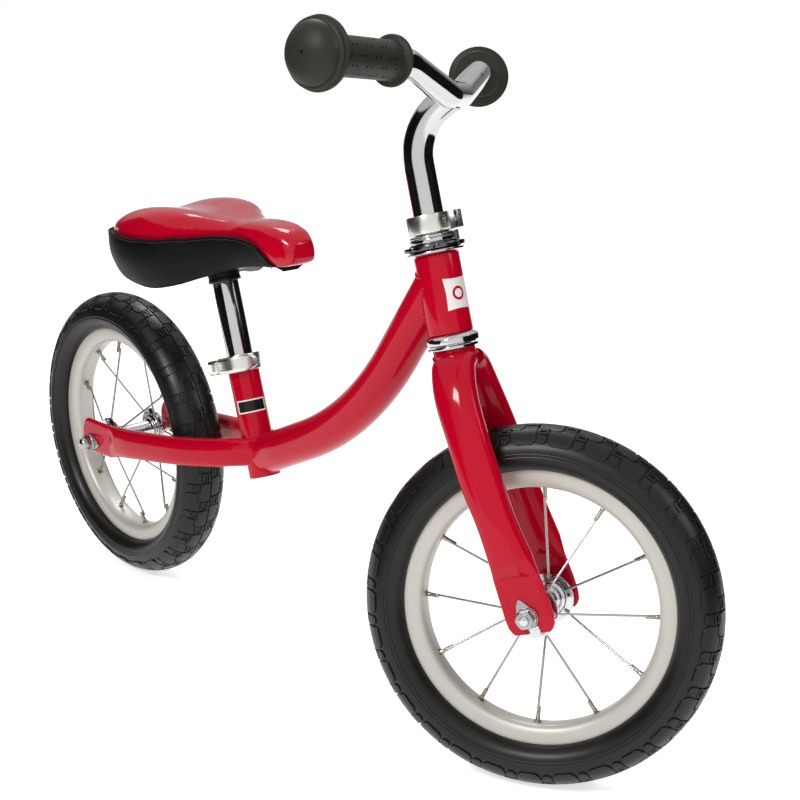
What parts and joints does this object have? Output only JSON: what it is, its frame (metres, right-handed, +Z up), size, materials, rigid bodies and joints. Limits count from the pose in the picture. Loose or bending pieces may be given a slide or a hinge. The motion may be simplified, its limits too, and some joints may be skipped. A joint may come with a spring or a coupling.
{
  "type": "balance bike",
  "caption": "Child's balance bike with spoked wheels, air tyres, a red step-through frame and fork, chromed handlebar, quick-release seat post and padded saddle, fork turned to the left.",
  "frame": {"origin": "the point where the middle of the rear tyre's tread stands on the floor", "axes": "+X forward along the bike, +Y to the rider's left, +Z up"},
  "size_m": [0.8837, 0.3794, 0.6252],
  "materials": {
    "red_paint": "gloss red paint",
    "chrome": "mirror chrome plate",
    "dark_chrome": "dark chrome plate",
    "polished_aluminium": "polished",
    "steel": "zinc plated",
    "rim_silver": "satin light grey",
    "tyre_rubber": "moulded rubber",
    "grip_rubber": "matte moulded rubber",
    "black_plastic": "matte black",
    "black_vinyl": "grained black vinyl over foam",
    "red_vinyl": "gloss red vinyl over foam"
  },
  "bodies": {
    "frame": {"head_tube": "red_paint", "headset_lower_cup": "chrome", "headset_upper_cup": "chrome", "left_chainstay": "red_paint", "lower_head_bearing": "steel", "main_tube": "red_paint", "quick_release_nut": "chrome", "rear_axle": "steel", "rear_left_ball_ring": "steel", "rear_left_cone": "steel", "rear_left_nut": "chrome", "rear_left_washer": "chrome", "rear_right_ball_ring": "steel", "rear_right_cone": "steel", "rear_right_nut": "chrome", "rear_right_washer": "chrome", "right_chainstay": "red_paint", "seat_collar": "polished_aluminium", "seat_collar_skewer": "steel", "seat_tube": "red_paint", "upper_head_bearing": "steel"},
    "rear_wheel": {"rear_tyre": "tyre_rubber", "rear_inner_tube": "tyre_rubber", "rear_rim": "rim_silver", "rear_spokes": "steel", "rear_hub": "chrome"},
    "front_wheel": {"front_tyre": "tyre_rubber", "front_inner_tube": "tyre_rubber", "front_rim": "rim_silver", "front_spokes": "steel", "front_hub": "chrome"},
    "handlebar": {"riser": "chrome", "handlebar": "chrome", "right_grip": "grip_rubber", "left_grip": "grip_rubber"},
    "seat": {"seat_post": "chrome", "saddle_base": "black_plastic", "saddle_side_cover": "black_vinyl", "saddle_pad": "red_vinyl"},
    "lever": {"quick_release_lever": "polished_aluminium"},
    "fork": {"crown_race": "steel", "adjusting_race": "dark_chrome", "lock_washer": "dark_chrome", "locknut": "chrome", "fork_steerer": "steel", "fork_crown": "red_paint", "right_fork_leg": "red_paint", "left_fork_leg": "red_paint", "bar_collar": "polished_aluminium", "bar_collar_bolt": "steel", "front_axle": "steel", "front_right_cone": "steel", "front_right_ball_ring": "steel", "front_right_washer": "chrome", "front_right_nut": "chrome", "front_left_cone": "steel", "front_left_ball_ring": "steel", "front_left_washer": "chrome", "front_left_nut": "chrome"}
  },
  "joints": [
    {"name": "steering", "type": "hinge", "parent": "frame", "child": "fork", "pos_m": [0.57636, 0, 0.13963], "axis": [-0.2882, 0, 0.9576], "continuous": true},
    {"name": "front_wheel_spin", "type": "hinge", "parent": "fork", "child": "front_wheel", "pos_m": [0.60206, 0.01743, 0.14737], "axis": [-0.5215, 0.8387, -0.157], "continuous": true},
    {"name": "rear_wheel_spin", "type": "hinge", "parent": "frame", "child": "rear_wheel", "pos_m": [0, 0, 0.1485], "axis": [0, 1, 0], "continuous": true},
    {"name": "handlebar_height", "type": "slide", "parent": "fork", "child": "handlebar", "axis": [-0.2882, 0, 0.9576], "range_m": [-0.03, 0.03]},
    {"name": "seat_height", "type": "slide", "parent": "frame", "child": "seat", "axis": [-0.3032, 0, 0.9529], "range_m": [-0.04, 0.025]},
    {"name": "quick_release", "type": "hinge", "parent": "frame", "child": "lever", "pos_m": [0.18472, -0.016, 0.2618], "axis": [-0.3032, 0, 0.9529], "range_deg": [-170, 0]}
  ]
}
